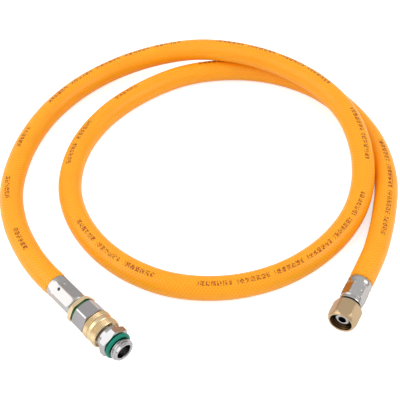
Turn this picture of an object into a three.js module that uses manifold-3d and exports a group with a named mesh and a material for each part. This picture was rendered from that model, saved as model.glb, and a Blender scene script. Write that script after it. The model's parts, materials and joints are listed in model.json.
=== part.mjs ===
// Pressure washer hose: a braided hose lying in one and a half loose turns, with a swivel plug
// crimped on one end and a swivel nut on the other.
// Lengths are millimetres, +Z is up and the floor is z = 0. The origin lies on the floor,
// under the middle of the two end fittings. The swivel nut points along -Y.
import * as THREE from "three";
import { mergeVertices } from "three/addons/utils/BufferGeometryUtils.js";
import Module from "manifold-3d";

const wasm = await Module();
wasm.setup();

// Clearances
const seatGap = 0.3; // between two faces that rest on each other
const runningGap = 0.3; // round a shaft that turns in a bore

// Hose
const hoseDiameter = 15;
const hoseBore = 8.5;
const hoseSides = 12;
const boreSides = 8;
const hoseSteps = 65;
const plugGrip = 16.8; // how far the hose goes into the plug fitting's ferrule
const nutGrip = 11.2; // and into the nut fitting's
const crimpedHoseDiameter = 12.2;

// Barbed tails, the same on both fittings
const passageBore = 4.8;
const stemDiameter = 7;
const barbCount = 3;
const tailTip = 2; // from the ferrule's mouth to the tip of the tail
const stopCollarDiameter = 10.2;
const stopCollarWidth = 0.8;
const gripGrooveDiameter = 8.8;

// Ferrules
const ferruleWall = 0.9;
const ferruleRimLength = 2.6; // the rim that is pressed into the tail's groove
const plugFerruleDies = 6;
const nutFerruleDies = 8;
const dieDepth = 0.5;
const dieRamp = 1.6;
const dieStart = 2.2; // from the ferrule's mouth
const dieEnd = 0.6; // from its front

// Swivel plug fitting, from the ferrule to the tip of the plug
const acrossFlats = 17; // one spanner fits all four hexagons
const adaptorHexLength = 3.9;
const adaptorShoulderDiameter = 13.8; // where the cone behind the hexagon starts
const adaptorConeLength = 1.8;
const adaptorCornerAngle = 35; // from straight up, towards the front of the loops
const gasketThickness = 0.8;
const gasketDiameter = 16.4;
const bodyHexLength = 10.1;
const bodyCornerDiameter = 18.3; // the hexagon's corners are turned down to this
const stubDiameter = 9.4; // the adaptor's screwed stub
const stubLength = 6.6;
const spigotWall = 1.4; // round the seal bore
const spigotLength = 4.6;
const sealBoreDiameter = 11.2;
const sealBoreDepth = 5.3;
const sleeveDiameter = 18.6;
const sleeveLength = 10.7;
const sleeveGrooveDiameter = 16.8;
const rearKnurlLength = 3.5;
const sleeveLipLength = 2.4;
const sleeveRecessDepth = 1; // in its front face, round the plug's collar
const frontKnurlLength = 3.2;
const knurlRidges = 30;
const knurlDepth = 0.35;
const neckStep = 0.2; // how far the neck stands out from the tail behind it
const neckShow = 3.6; // of the plug between the sleeve and the plug's hexagon
const plugCollarDiameter = 15; // the round collar behind the plug's hexagon
const plugCollarGap = 0.5; // round the collar and behind it, in the sleeve's recess
const thrustWasherThickness = 1.3;
const snapRingThickness = 1.3;
const snapRingGap = 60; // degrees of the ring that are open
const snapGrooveDiameter = 8.6;
const sealGrooveDiameter = 7.2;
const backUpRingThickness = 1;
const plugHexLength = 4.9;
const plugCornerAngle = -3; // as it lies in the photograph
const reliefDiameter = 11.8;
const reliefLength = 2.9;
const threadDiameter = 14;
const threadLength = 4.4;
const socketBore = 9.3;
const socketDepth = 13;
const plugRingSection = 2.4;

// Swivel nut fitting
const nutLength = 16.6;
const nutBore = 12.9;
const nutNoseDrop = 4; // how much narrower the nut's face is than its corners
const nutNoseLength = 3.2;
const nutWall = 4.7; // the back wall, which the nipple's head bears on
const nutNeckDiameter = 10.2;
const nutNeckShow = 0.7;
const headDiameter = 12.2;
const headThickness = 2.2;
const coneDiameter = 11.4;
const coneTipDiameter = 7.6;
const coneLength = 5.6;
const coneGrooveDiameter = 7.6;
const coneRingSection = 1.7;
const coneRingSetback = 2.4; // from the tip of the cone to the front of the ring's groove

// Faces round a turned piece
const fine = 32;
const coarse = 18;

const hexCornerRadius = acrossFlats / Math.sqrt(3);
const spigotDiameter = sealBoreDiameter + 2 * spigotWall;
const tailDiameter = sealBoreDiameter - 2 * runningGap;
const neckDiameter = tailDiameter + 2 * neckStep;
const hoseHeight = hoseDiameter / 2 + 0.1; // axis of the hose where it lies on the floor
const plugHeight = hexCornerRadius + 0.2;
const nutHeight = acrossFlats / 2;

// The hose's centreline from the plug fitting to the nut fitting: out to the left, round the back
// over its own second turn, down the right side and once more round on the floor.
const route = [
  [-83.9, -27.6, plugHeight],
  [-95.6, -23.2, plugHeight],
  [-110, -15.5, 9.3],
  [-132, 1, 7.9],
  [-150, 22, hoseHeight],
  [-161.5, 46, hoseHeight],
  [-168.5, 73, hoseHeight],
  [-170, 102, 7.8],
  [-163.5, 133, 8.9],
  [-148, 162, 11.2],
  [-126, 183, 15.2],
  [-101, 195, 20.1],
  [-73, 200.8, 23.1],
  [-43.5, 202.7, 23],
  [-12.5, 197.5, 21.6],
  [16.7, 182, 19.6],
  [38.5, 156.5, 16.2],
  [50, 131, 11.2],
  [53.2, 104, 7.8],
  [47, 70.5, hoseHeight],
  [31, 40.5, hoseHeight],
  [6, 17.5, hoseHeight],
  [-26, 4.5, hoseHeight],
  [-60.5, 5, hoseHeight],
  [-92.5, 18, hoseHeight],
  [-117.5, 41.5, hoseHeight],
  [-131.5, 73, hoseHeight],
  [-134, 106, hoseHeight],
  [-126, 140, hoseHeight],
  [-105, 176.5, hoseHeight],
  [-76.5, 198.5, hoseHeight],
  [-45, 208.7, hoseHeight],
  [-12.5, 207.5, hoseHeight],
  [18, 194, hoseHeight],
  [43.5, 172.5, hoseHeight],
  [61, 145.5, hoseHeight],
  [70.6, 115.5, hoseHeight],
  [75.8, 86, 7.8],
  [76.6, 70, nutHeight],
  [76.6, 57.8, nutHeight],
].map(([x, y, z]) => new THREE.Vector3(x, y, z));

// Materials
const finish = (color, roughness, metalness) =>
  new THREE.MeshStandardMaterial({ color, roughness, metalness });
const amberHose = finish(0xffa21f, 0.38, 0);
const nickel = finish(0xcfccc8, 0.18, 1);
const brass = finish(0xcda664, 0.32, 1);
const steel = finish(0x9c9a9b, 0.34, 1);
const springSteel = finish(0x6f7072, 0.3, 1);
const bronze = finish(0xb07a45, 0.4, 1);
const tealRubber = finish(0x0f8f78, 0.5, 0);
const greenRubber = finish(0x1f5a35, 0.55, 0);
const blackRubber = finish(0x1b1b1c, 0.6, 0);
const whitePlastic = finish(0xe9e6dd, 0.45, 0);

// Solids. Every fitting is built along its own +Y, away from the hose, with +Z up.
function solidOf(geometry) {
  const bare = new THREE.BufferGeometry();
  bare.setAttribute("position", geometry.getAttribute("position"));
  bare.setIndex(geometry.getIndex());
  const merged = mergeVertices(bare, 1e-4);
  const corners = merged.index.array;
  const triangles = [];
  for (let i = 0; i < corners.length; i += 3) {
    const [a, b, c] = corners.subarray(i, i + 3);
    if (a !== b && b !== c && c !== a) triangles.push(a, b, c);
  }
  return new wasm.Manifold(
    new wasm.Mesh({
      numProp: 3,
      vertProperties: merged.attributes.position.array,
      triVerts: new Uint32Array(triangles),
    }),
  );
}

function piece(name, solid, material) {
  const made = solid.getMesh();
  const geometry = new THREE.BufferGeometry();
  geometry.setAttribute("position", new THREE.BufferAttribute(made.vertProperties, 3));
  geometry.setIndex(new THREE.BufferAttribute(made.triVerts, 1));
  geometry.computeVertexNormals();
  const mesh = new THREE.Mesh(geometry, material);
  mesh.name = name;
  return mesh;
}

// A turned solid: the profile is a list of [diameter, station] that starts and ends on the axis.
function turned(profile, sides = fine) {
  const points = profile.map(([d, y]) => new THREE.Vector2(d / 2, y));
  return solidOf(new THREE.LatheGeometry(points, sides));
}

// A turned ring: the profile closes on itself.
const turnedRing = (profile, sides = fine) => turned([...profile, profile[0]], sides);

// A straight bore or bar between two stations.
const bar = (diameter, from, to, sides = fine) =>
  turned([[0, from], [diameter, from], [diameter, to], [0, to]], sides);

// A round-section ring in the plane y = station, from its middle diameter and its section.
function roundRing(middleDiameter, section, station, sides = coarse) {
  const around = 8;
  const profile = [];
  for (let i = 0; i < around; i++) {
    const angle = (i / around) * 2 * Math.PI;
    profile.push([
      middleDiameter + section * Math.cos(angle),
      station + (section / 2) * Math.sin(angle),
    ]);
  }
  return turnedRing(profile, sides);
}

// A six-sided bar whose first corner is turned from +Z towards +X by the angle in degrees.
function hexBar(from, to, cornerAngle) {
  const outline = new THREE.Shape();
  for (let k = 0; k < 6; k++) {
    const angle = THREE.MathUtils.degToRad(cornerAngle - 60 * k);
    const x = hexCornerRadius * Math.sin(angle);
    const y = -hexCornerRadius * Math.cos(angle);
    if (k) outline.lineTo(x, y);
    else outline.moveTo(x, y);
  }
  outline.closePath();
  const geometry = new THREE.ExtrudeGeometry(outline, {
    depth: to - from,
    bevelEnabled: false,
  });
  geometry.rotateX(-Math.PI / 2);
  geometry.translate(0, from, 0);
  return solidOf(geometry);
}

// A hexagon with its corners turned off at both ends and down to cornerDiameter between them.
function hexNut(from, to, cornerAngle, faceDiameter, chamfer, cornerDiameter) {
  const turnedDown = turned([
    [0, from],
    [faceDiameter, from],
    [cornerDiameter, from + chamfer],
    [cornerDiameter, to - chamfer],
    [faceDiameter, to],
    [0, to],
  ]);
  return hexBar(from, to, cornerAngle).intersect(turnedDown);
}

// A knurled disc: every second point round the lathe stands proud, and on a crossed knurl
// every second one along it too.
function knurled(diameter, from, to, rows, crossed) {
  const profile = [[0, from], [diameter - 3 * knurlDepth, from]];
  for (let row = 0; row <= rows; row++) {
    const inset = (to - from) * 0.08;
    const station = from + inset + ((to - from - 2 * inset) * row) / rows;
    profile.push([diameter, station]);
  }
  profile.push([diameter - 3 * knurlDepth, to], [0, to]);
  const points = profile.map(([d, y]) => new THREE.Vector2(d / 2, y));
  const geometry = new THREE.LatheGeometry(points, 2 * knurlRidges);
  const position = geometry.getAttribute("position");
  for (let column = 0; column <= 2 * knurlRidges; column++) {
    for (let row = 2; row < points.length - 2; row++) {
      if ((column + (crossed ? row : 0)) % 2) continue;
      const i = column * points.length + row;
      const shrink = 1 - (2 * knurlDepth) / diameter;
      position.setX(i, position.getX(i) * shrink);
      position.setZ(i, position.getZ(i) * shrink);
    }
  }
  return solidOf(geometry);
}

// Where the end of the hose, the stop collar, the grip groove and the ferrule's rim lie, for a
// hose that goes in by the given depth.
function crimpStations(grip) {
  const collar = grip + 2 * seatGap;
  const groove = collar + stopCollarWidth;
  const rim = groove + seatGap;
  const front = rim + ferruleRimLength;
  return { grip, collar, groove, rim, front, grooveEnd: front + seatGap };
}

// The barbed tail that the hose is pushed on to, with the collar it stops at and the groove that
// the ferrule's rim is pressed into.
function barbedTail(at) {
  const barbDiameter = hoseBore - 2 * seatGap;
  const barbLength = (at.grip - tailTip) / barbCount;
  const profile = [[0, tailTip]];
  for (let k = 0; k < barbCount; k++) {
    const start = tailTip + k * barbLength;
    profile.push([k ? stemDiameter : stemDiameter - 0.8, start]);
    profile.push([barbDiameter, start + 0.7 * barbLength]);
    profile.push([stemDiameter, start + 0.75 * barbLength]);
  }
  profile.push([stemDiameter, at.collar], [stopCollarDiameter, at.collar]);
  profile.push([stopCollarDiameter, at.groove], [gripGrooveDiameter, at.groove]);
  profile.push([gripGrooveDiameter, at.grooveEnd + 0.5], [0, at.grooveEnd + 0.5]);
  return turned(profile, coarse);
}

// A ferrule: a turned shell with a mouth, a crimped barrel and a rim pressed into the tail's
// groove. Flat panels with ramped ends are pressed into the barrel all round it.
const barrelBore = crimpedHoseDiameter + 2 * seatGap;
const barrelDiameter = barrelBore + 2 * ferruleWall;
function ferrule(at, dies, firstDie, mouth, front) {
  const shell = turned([[0, 0], ...mouth, ...front, [0, at.front]]);
  const cavity = turned([
    [0, -1],
    [barrelBore, -1],
    [barrelBore, at.rim - 1],
    [stopCollarDiameter + 2 * seatGap, at.rim],
    [0, at.rim],
  ]);
  const rimBore = bar(gripGrooveDiameter + 2 * seatGap, 0, at.front + 1);
  let made = shell.subtract(cavity).subtract(rimBore);
  const pressed = barrelDiameter / 2 - dieDepth;
  const open = barrelDiameter / 2 + 1;
  const outline = new THREE.Shape([
    new THREE.Vector2(open, dieStart),
    new THREE.Vector2(pressed, dieStart + dieRamp),
    new THREE.Vector2(pressed, at.front - dieEnd - dieRamp),
    new THREE.Vector2(open, at.front - dieEnd),
  ]);
  for (let k = 0; k < dies; k++) {
    const die = new THREE.ExtrudeGeometry(outline, { depth: barrelDiameter, bevelEnabled: false });
    die.translate(0, 0, -barrelDiameter / 2);
    die.rotateY(THREE.MathUtils.degToRad(firstDie + (360 * k) / dies - 90));
    made = made.subtract(solidOf(die));
  }
  return made;
}

// A fitting's group: its +Y follows the end of the hose, and its origin is the ferrule's mouth,
// a gap away from the shoulder of the hose.
function fittingAt(end, before) {
  const along = end.clone().sub(before).normalize();
  const group = new THREE.Group();
  group.position.copy(end).addScaledVector(along, seatGap);
  group.rotation.z = Math.atan2(along.y, along.x) - Math.PI / 2;
  group.updateMatrixWorld(true);
  return group;
}
const plugCrimp = crimpStations(plugGrip);
const nutCrimp = crimpStations(nutGrip);
const plugEnd = fittingAt(route[0], route[1]);
const nutEnd = fittingAt(route.at(-1), route.at(-2));

// Hose: a many-sided tube of the round hose's area, and at each end the part that the ferrule
// squeezes on to the barbs.
function hose() {
  const polygon = (diameter, sides) => {
    const slice = (2 * Math.PI) / sides;
    const radius = (diameter / 2) * Math.sqrt(slice / Math.sin(slice));
    return Array.from({ length: sides }, (_, k) => {
      const angle = (k + 0.5) * slice;
      return new THREE.Vector2(radius * Math.cos(angle), radius * Math.sin(angle));
    });
  };
  const section = new THREE.Shape(polygon(hoseDiameter, hoseSides));
  section.holes.push(new THREE.Path(polygon(hoseBore, boreSides)));
  let made = solidOf(
    new THREE.ExtrudeGeometry(section, {
      steps: hoseSteps,
      extrudePath: new THREE.CatmullRomCurve3(route),
    }),
  );
  const overlap = 1;
  for (const [end, at] of [[plugEnd, plugCrimp], [nutEnd, nutCrimp]]) {
    const crimped = turnedRing(
      [
        [hoseBore, -overlap],
        [crimpedHoseDiameter, -overlap],
        [crimpedHoseDiameter, at.grip],
        [hoseBore, at.grip],
      ],
      coarse,
    );
    made = made.add(crimped.transform(end.matrixWorld.elements));
  }
  return made;
}

// Swivel plug fitting: stations along its axis, each from the one before
const adaptorFace = plugCrimp.grooveEnd;
const adaptorFront = adaptorFace + adaptorHexLength;
const gasketRear = adaptorFront + seatGap;
const bodyRear = gasketRear + gasketThickness + seatGap;
const bodyFront = bodyRear + bodyHexLength;
const spigotFront = bodyFront + spigotLength;
const sleeveRear = bodyFront + seatGap;
const sleeveFront = sleeveRear + sleeveLength;
const sleeveLip = sleeveFront - sleeveLipLength;
const washerRear = sleeveLip - seatGap - thrustWasherThickness;
const snapRingRear = washerRear - seatGap - snapRingThickness;
const plugHexRear = sleeveFront + neckShow;
const plugHexFront = plugHexRear + plugHexLength;
const threadRear = plugHexFront + reliefLength;
const plugTip = threadRear + threadLength;
const sealBoreRear = spigotFront - sealBoreDepth;
const plugTail = sealBoreRear + seatGap;
const sealRingSection = (sealBoreDiameter - sealGrooveDiameter) / 2 - 2 * seatGap;
const sealGroove = plugTail + 1.4;
const sealRingStation = sealGroove + seatGap + sealRingSection / 2;
const backUpRingRear = sealRingStation + sealRingSection / 2 + seatGap;
const sealGrooveEnd = backUpRingRear + backUpRingThickness + seatGap;

function barbedAdaptor() {
  const stub = turned([
    [0, adaptorFront - 0.5],
    [stubDiameter, adaptorFront - 0.5],
    [stubDiameter, adaptorFront + stubLength],
    [stubDiameter - 1, adaptorFront + stubLength + 0.6],
    [0, adaptorFront + stubLength + 0.6],
  ], coarse);
  const hex = hexBar(adaptorFace, adaptorFront, adaptorCornerAngle).intersect(
    turned([
      [0, adaptorFace],
      [adaptorShoulderDiameter, adaptorFace],
      [2 * hexCornerRadius, adaptorFace + adaptorConeLength],
      [2 * hexCornerRadius, adaptorFront - 0.5],
      [2 * hexCornerRadius - 1.6, adaptorFront],
      [0, adaptorFront],
    ]),
  );
  return barbedTail(plugCrimp)
    .add(hex)
    .add(stub)
    .subtract(bar(passageBore, 0, adaptorFront + stubLength + 2, coarse));
}

const gasket = () =>
  turnedRing([
    [stubDiameter + 2 * seatGap, gasketRear],
    [gasketDiameter, gasketRear],
    [gasketDiameter, gasketRear + gasketThickness],
    [stubDiameter + 2 * seatGap, gasketRear + gasketThickness],
  ]);

function swivelBody() {
  const hex = hexNut(bodyRear, bodyFront, 30, acrossFlats - 0.6, 0.7, bodyCornerDiameter);
  const spigot = turned([
    [0, bodyFront - 0.5],
    [spigotDiameter, bodyFront - 0.5],
    [spigotDiameter, spigotFront - 0.5],
    [spigotDiameter - 1, spigotFront],
    [0, spigotFront],
  ]);
  const stubHole = bar(stubDiameter + 2 * seatGap, bodyRear - 1, adaptorFront + stubLength + 0.9);
  const through = bar(passageBore, bodyRear, spigotFront, coarse);
  const sealBore = bar(sealBoreDiameter, sealBoreRear, spigotFront + 1);
  return hex.add(spigot).subtract(stubHole).subtract(through).subtract(sealBore);
}

// The screwed sleeve: a straight-knurled ring, a plain band, a notch, and a ring with a crossed
// knurl, recessed in front for the plug's collar.
function glandSleeve() {
  const rearKnurlEnd = sleeveRear + rearKnurlLength;
  const frontKnurl = sleeveFront - 0.5 - frontKnurlLength;
  const core = turned([
    [0, sleeveRear],
    [sleeveGrooveDiameter, sleeveRear],
    [sleeveGrooveDiameter, rearKnurlEnd + 0.2],
    [sleeveDiameter, rearKnurlEnd + 0.5],
    [sleeveDiameter, frontKnurl - 1.2],
    [sleeveGrooveDiameter, frontKnurl - 0.2],
    [sleeveGrooveDiameter, sleeveFront],
    [0, sleeveFront],
  ]);
  const rearBand = knurled(sleeveDiameter - 0.2, sleeveRear, rearKnurlEnd, 1, false);
  const frontBand = knurled(sleeveDiameter, frontKnurl + 0.1, sleeveFront - 0.2, 4, true);
  return core
    .add(rearBand)
    .add(frontBand)
    .subtract(bar(spigotDiameter + 2 * seatGap, sleeveRear - 1, sleeveLip))
    .subtract(bar(neckDiameter + 2 * runningGap, sleeveLip - 1, sleeveFront + 1))
    .subtract(
      bar(
        plugCollarDiameter + 2 * plugCollarGap,
        sleeveFront - sleeveRecessDepth,
        sleeveFront + 1,
      ),
    );
}

// The plug turns in the body. A snap ring in its tail bears on the thrust washer behind the
// sleeve's lip, and a rubber ring and its back-up ring seal the tail in the body's bore. A round
// collar behind the plug's hexagon covers the sleeve's recess.
function swivelPlug() {
  const snapGroove = snapRingRear - seatGap;
  const collarRear = sleeveFront - sleeveRecessDepth + plugCollarGap;
  const shaft = turned([
    [0, plugTail],
    [tailDiameter - 0.8, plugTail],
    [tailDiameter, plugTail + 0.4],
    [tailDiameter, sealGroove],
    [sealGrooveDiameter, sealGroove],
    [sealGrooveDiameter, sealGrooveEnd],
    [tailDiameter, sealGrooveEnd],
    [tailDiameter, snapGroove],
    [snapGrooveDiameter, snapGroove],
    [snapGrooveDiameter, washerRear],
    [neckDiameter, washerRear],
    [neckDiameter, collarRear],
    [plugCollarDiameter, collarRear],
    [plugCollarDiameter, plugHexRear + 0.5],
    [0, plugHexRear + 0.5],
  ]);
  const hex = hexNut(
    plugHexRear, plugHexFront, plugCornerAngle, acrossFlats - 0.8, 0.9, 2 * hexCornerRadius,
  );
  const screwed = turned([
    [0, plugHexFront - 0.5],
    [reliefDiameter, plugHexFront - 0.5],
    [reliefDiameter, threadRear],
    [threadDiameter, threadRear + 0.7],
    [threadDiameter, plugTip - 0.9],
    [threadDiameter - 1.8, plugTip],
    [0, plugTip],
  ]);
  const socketFloor = plugTip - socketDepth;
  const bore = turned([
    [0, plugTail - 1],
    [passageBore, plugTail - 1],
    [passageBore, socketFloor - 1.5],
    [socketBore, socketFloor],
    [socketBore, plugTip - 0.4],
    [socketBore + 0.8, plugTip],
    [socketBore + 0.8, plugTip + 1],
    [0, plugTip + 1],
  ]);
  return shaft.add(hex).add(screwed).subtract(bore);
}

const backUpRing = () =>
  turnedRing([
    [sealGrooveDiameter + 2 * seatGap, backUpRingRear],
    [sealBoreDiameter - 2 * seatGap, backUpRingRear],
    [sealBoreDiameter - 2 * seatGap, backUpRingRear + backUpRingThickness],
    [sealGrooveDiameter + 2 * seatGap, backUpRingRear + backUpRingThickness],
  ], coarse);

const thrustWasher = () =>
  turnedRing([
    [neckDiameter + 2 * runningGap, washerRear],
    [spigotDiameter, washerRear],
    [spigotDiameter, washerRear + thrustWasherThickness],
    [neckDiameter + 2 * runningGap, washerRear + thrustWasherThickness],
  ]);

// The snap ring is an open C, so that it can be sprung into its groove.
function snapRing() {
  const outer = spigotDiameter / 2 - 0.1;
  const inner = snapGrooveDiameter / 2 + seatGap;
  const half = THREE.MathUtils.degToRad(180 - snapRingGap / 2);
  const outline = new THREE.Shape();
  outline.absarc(0, 0, outer, -half, half, false);
  outline.absarc(0, 0, inner, half, -half, true);
  outline.closePath();
  const geometry = new THREE.ExtrudeGeometry(outline, {
    depth: snapRingThickness,
    bevelEnabled: false,
    curveSegments: 24,
  });
  geometry.rotateX(-Math.PI / 2);
  geometry.translate(0, snapRingRear, 0);
  return solidOf(geometry);
}

const plugFerrule = () =>
  ferrule(
    plugCrimp, plugFerruleDies, 20,
    [[barrelDiameter - 0.3, 0], [hoseDiameter, 0.5], [hoseDiameter, 1.6], [barrelDiameter, 3.4]],
    [[barrelDiameter - 0.5, plugCrimp.front - 2.4], [barrelDiameter - 1.2, plugCrimp.front]],
  );

// Swivel nut fitting: stations along its axis
const nutRear = nutCrimp.front + nutNeckShow;
const nutWallFront = nutRear + nutWall;
const nutMouth = nutRear + nutLength;
const headRear = nutWallFront + seatGap;
const coneRear = headRear + headThickness;
const coneTip = coneRear + coneLength;
const coneGrooveFront = coneTip - coneRingSetback;
const coneRingStation = coneGrooveFront - seatGap - coneRingSection / 2;
const coneGrooveRear = coneRingStation - coneRingSection / 2 - seatGap;

const nutFerrule = () =>
  ferrule(
    nutCrimp, nutFerruleDies, 10,
    [
      [barrelDiameter - 0.8, 0],
      [hoseDiameter + 0.2, 0.6],
      [hoseDiameter + 0.2, 1.6],
      [barrelDiameter - 0.2, 2.6],
      [barrelDiameter, 3.6],
    ],
    [
      [barrelDiameter - 0.7, nutCrimp.front - 2],
      [barrelDiameter - 0.2, nutCrimp.front - 1.2],
      [barrelDiameter - 0.2, nutCrimp.front],
    ],
  );

// The nut bears on the nipple's head, and slips on over the tail before the hose is crimped.
function nutNipple() {
  const coneAt = (station) =>
    coneTipDiameter + ((coneDiameter - coneTipDiameter) * (coneTip - station)) / coneLength;
  const front = turned([
    [0, nutCrimp.grooveEnd],
    [nutNeckDiameter, nutCrimp.grooveEnd],
    [nutNeckDiameter, headRear],
    [headDiameter, headRear],
    [headDiameter, coneRear],
    [coneDiameter, coneRear],
    [coneAt(coneGrooveRear), coneGrooveRear],
    [coneGrooveDiameter, coneGrooveRear],
    [coneGrooveDiameter, coneGrooveFront],
    [coneAt(coneGrooveFront), coneGrooveFront],
    [coneTipDiameter, coneTip],
    [0, coneTip],
  ]);
  return barbedTail(nutCrimp).add(front).subtract(bar(passageBore, 0, coneTip + 1, coarse));
}

const nippleRing = () =>
  roundRing(coneGrooveDiameter + 2 * seatGap + coneRingSection, coneRingSection, coneRingStation);

function swivelNut() {
  const corner = 2 * hexCornerRadius;
  const turnedDown = turned([
    [0, nutRear],
    [acrossFlats - 3.4, nutRear],
    [corner, nutRear + 2.6],
    [corner, nutMouth - nutNoseLength],
    [corner - 0.25 * nutNoseDrop, nutMouth - 0.56 * nutNoseLength],
    [corner - 0.55 * nutNoseDrop, nutMouth - 0.25 * nutNoseLength],
    [corner - 0.8 * nutNoseDrop, nutMouth - 0.08 * nutNoseLength],
    [corner - nutNoseDrop, nutMouth],
    [0, nutMouth],
  ]);
  const neckHole = bar(nutNeckDiameter + 2 * runningGap, nutRear - 1, nutWallFront + 1);
  const threadBore = turned([
    [0, nutWallFront],
    [nutBore, nutWallFront],
    [nutBore, nutMouth - 0.4],
    [nutBore + 0.8, nutMouth],
    [nutBore + 0.8, nutMouth + 1],
    [0, nutMouth + 1],
  ]);
  return hexBar(nutRear, nutMouth, 30)
    .intersect(turnedDown)
    .subtract(neckHole)
    .subtract(threadBore);
}

// Assembly
const plugRing = () =>
  roundRing(
    reliefDiameter + 2 * seatGap + plugRingSection,
    plugRingSection,
    plugHexFront + seatGap + plugRingSection / 2,
  );
const shaftSealRing = () =>
  roundRing((sealBoreDiameter + sealGrooveDiameter) / 2, sealRingSection, sealRingStation);

const turningPlug = new THREE.Group();
turningPlug.add(
  piece("swivel_plug", swivelPlug(), nickel),
  piece("snap_ring", snapRing(), springSteel),
  piece("shaft_seal_ring", shaftSealRing(), blackRubber),
  piece("back_up_ring", backUpRing(), whitePlastic),
  piece("plug_o_ring", plugRing(), tealRubber),
);
plugEnd.add(
  piece("plug_ferrule", plugFerrule(), nickel),
  piece("barbed_adaptor", barbedAdaptor(), brass),
  piece("adaptor_gasket", gasket(), greenRubber),
  piece("swivel_body", swivelBody(), steel),
  piece("knurled_sleeve", glandSleeve(), brass),
  piece("thrust_washer", thrustWasher(), bronze),
  turningPlug,
);
nutEnd.add(
  piece("nut_ferrule", nutFerrule(), nickel),
  piece("nut_nipple", nutNipple(), nickel),
  piece("nipple_o_ring", nippleRing(), greenRubber),
  piece("swivel_nut", swivelNut(), brass),
);

const pressureWasherHose = new THREE.Group();
pressureWasherHose.add(piece("hose", hose(), amberHose), plugEnd, nutEnd);
export default pressureWasherHose;
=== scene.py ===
# %% [markdown]
# # A braided pressure hose with a swivel fitting on each end
#
# The object is a hose of clear amber vinyl that lies in one and a half loose turns. One end
# carries a swivel plug, built up from a crimped ferrule, two hexagons and a knurled brass sleeve.
# The other end carries a crimped ferrule and a brass nut that turns on a coned nipple.
#
# The solids of the part are loaded first and never moved. Around them this lesson makes the
# visible surfaces: the swept hose, turned and milled metal, rolled threads and knurls, and rubber
# rings.

import json
import math

import bmesh
import bpy
from mathutils import Matrix, Vector, geometry


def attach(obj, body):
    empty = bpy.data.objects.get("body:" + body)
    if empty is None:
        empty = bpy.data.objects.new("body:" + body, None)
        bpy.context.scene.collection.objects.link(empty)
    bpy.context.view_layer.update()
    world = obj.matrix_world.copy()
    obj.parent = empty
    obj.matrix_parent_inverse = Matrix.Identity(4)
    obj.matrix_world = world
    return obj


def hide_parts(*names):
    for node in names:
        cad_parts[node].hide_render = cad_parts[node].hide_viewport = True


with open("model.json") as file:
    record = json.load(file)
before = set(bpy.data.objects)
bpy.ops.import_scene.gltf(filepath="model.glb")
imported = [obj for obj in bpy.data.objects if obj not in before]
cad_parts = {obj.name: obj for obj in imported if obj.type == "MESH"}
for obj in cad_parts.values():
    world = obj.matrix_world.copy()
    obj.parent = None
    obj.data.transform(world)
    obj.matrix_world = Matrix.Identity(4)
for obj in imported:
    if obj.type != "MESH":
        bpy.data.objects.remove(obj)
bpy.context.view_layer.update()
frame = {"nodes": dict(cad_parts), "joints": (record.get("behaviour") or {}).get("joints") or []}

# %% [markdown]
# ## The camera
#
# The picture looks down on the loops from the front and a little from the right, at about the
# angle of a person standing over a workbench. A long lens keeps the near and far sides of the
# loops at nearly the same width. The camera comes first.

# %% Camera
MM = 0.001
LOOK_AT = Vector((-39.2, 73.45, 7.5)) * MM
CAMERA_AZIMUTH = math.radians(26.9)
CAMERA_ELEVATION = math.radians(48)
CAMERA_DISTANCE = 618.6 * MM
FOCAL_LENGTH = 86.4  # on a sensor 36 mm wide

away = Vector(
    (
        math.sin(CAMERA_AZIMUTH) * math.cos(CAMERA_ELEVATION),
        -math.cos(CAMERA_AZIMUTH) * math.cos(CAMERA_ELEVATION),
        math.sin(CAMERA_ELEVATION),
    )
)
camera = bpy.data.objects.new("camera", bpy.data.cameras.new("camera"))
camera.data.lens = FOCAL_LENGTH
camera.location = LOOK_AT + CAMERA_DISTANCE * away
camera.rotation_euler = (-away).to_track_quat("-Z", "Y").to_euler()
bpy.context.scene.collection.objects.link(camera)
bpy.context.scene.camera = camera
print("the camera stands", round(camera.location.z, 3), "m above the floor")

# %% [markdown]
# ## The hose's route
#
# A hose that lies loose on a table bends evenly and lifts only where it crosses itself. Its route
# is a short list of points, in millimetres, from the plug fitting out to the left, round the back
# over its own second turn, down the right side and once more round on the table. A centripetal
# spline through the points gives a smooth line with no loops or overshoot. Each span of it is a
# Bezier curve, so Blender's own interpolation can walk along it.

# %% Route of the hose
HOSE_DIAMETER = 15
LAID = 7.6  # height of the hose's axis on the table
PLUG_HEIGHT = 10.01495
NUT_HEIGHT = 8.5
ROUTE = [
    (-83.9, -27.6, PLUG_HEIGHT),
    (-95.6, -23.2, PLUG_HEIGHT),
    (-110, -15.5, 9.3),
    (-132, 1, 7.9),
    (-150, 22, LAID),
    (-161.5, 46, LAID),
    (-168.5, 73, LAID),
    (-170, 102, 7.8),
    (-163.5, 133, 8.9),
    (-148, 162, 11.2),
    (-126, 183, 15.2),
    (-101, 195, 20.1),
    (-73, 200.8, 23.1),
    (-43.5, 202.7, 23),
    (-12.5, 197.5, 21.6),
    (16.7, 182, 19.6),
    (38.5, 156.5, 16.2),
    (50, 131, 11.2),
    (53.2, 104, 7.8),
    (47, 70.5, LAID),
    (31, 40.5, LAID),
    (6, 17.5, LAID),
    (-26, 4.5, LAID),
    (-60.5, 5, LAID),
    (-92.5, 18, LAID),
    (-117.5, 41.5, LAID),
    (-131.5, 73, LAID),
    (-134, 106, LAID),
    (-126, 140, LAID),
    (-105, 176.5, LAID),
    (-76.5, 198.5, LAID),
    (-45, 208.7, LAID),
    (-12.5, 207.5, LAID),
    (18, 194, LAID),
    (43.5, 172.5, LAID),
    (61, 145.5, LAID),
    (70.6, 115.5, LAID),
    (75.8, 86, 7.8),
    (76.6, 70, NUT_HEIGHT),
    (76.6, 57.8, NUT_HEIGHT),
]


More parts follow.
